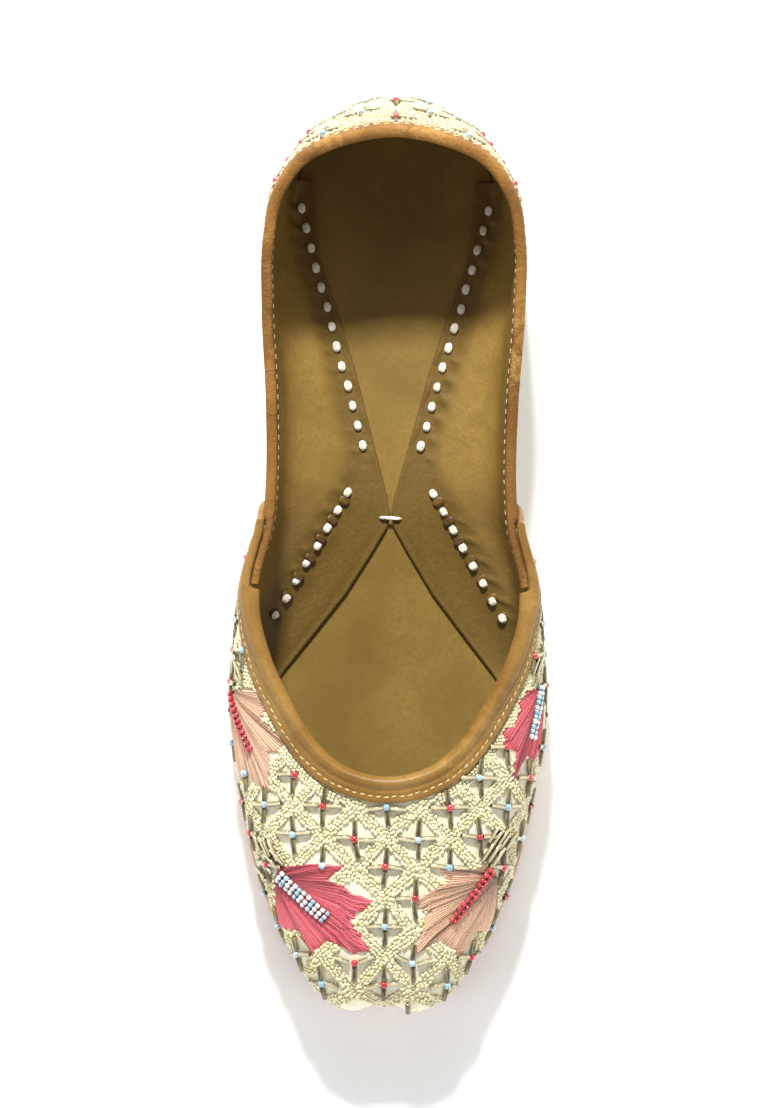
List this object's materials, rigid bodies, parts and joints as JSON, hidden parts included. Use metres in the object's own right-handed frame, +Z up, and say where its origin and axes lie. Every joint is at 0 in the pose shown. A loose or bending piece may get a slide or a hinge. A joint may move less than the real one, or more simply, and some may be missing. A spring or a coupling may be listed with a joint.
{
  "type": "hand-sewn slip-on shoe",
  "caption": "Flat slip-on shoe with a notched toe, beaded vamp lapped over an embroidered quarter, bound edges and a thin waisted leather sole.",
  "frame": {"origin": "middle of the shoe's outline, on the floor under it", "axes": "+Y from toe to heel, +Z up, +X to the side; the toe points to -Y and both sides are alike"},
  "size_m": [0.0866, 0.2552, 0.0533],
  "materials": {
    "outsole": "glossy dyed leather",
    "heel_tap": "semi-matte grained leather",
    "insole": "plain undyed leather",
    "upper": "satin cloth with beadwork and metal thread",
    "vamp_binding": "folded leather strip, stitched",
    "quarter_binding": "folded leather strip, stitched"
  },
  "bodies": {
    "root": {"outsole": "outsole", "heel_tap": "heel_tap", "insole": "insole", "upper": "upper", "vamp_binding": "vamp_binding", "quarter_binding": "quarter_binding"}
  },
  "joints": []
}
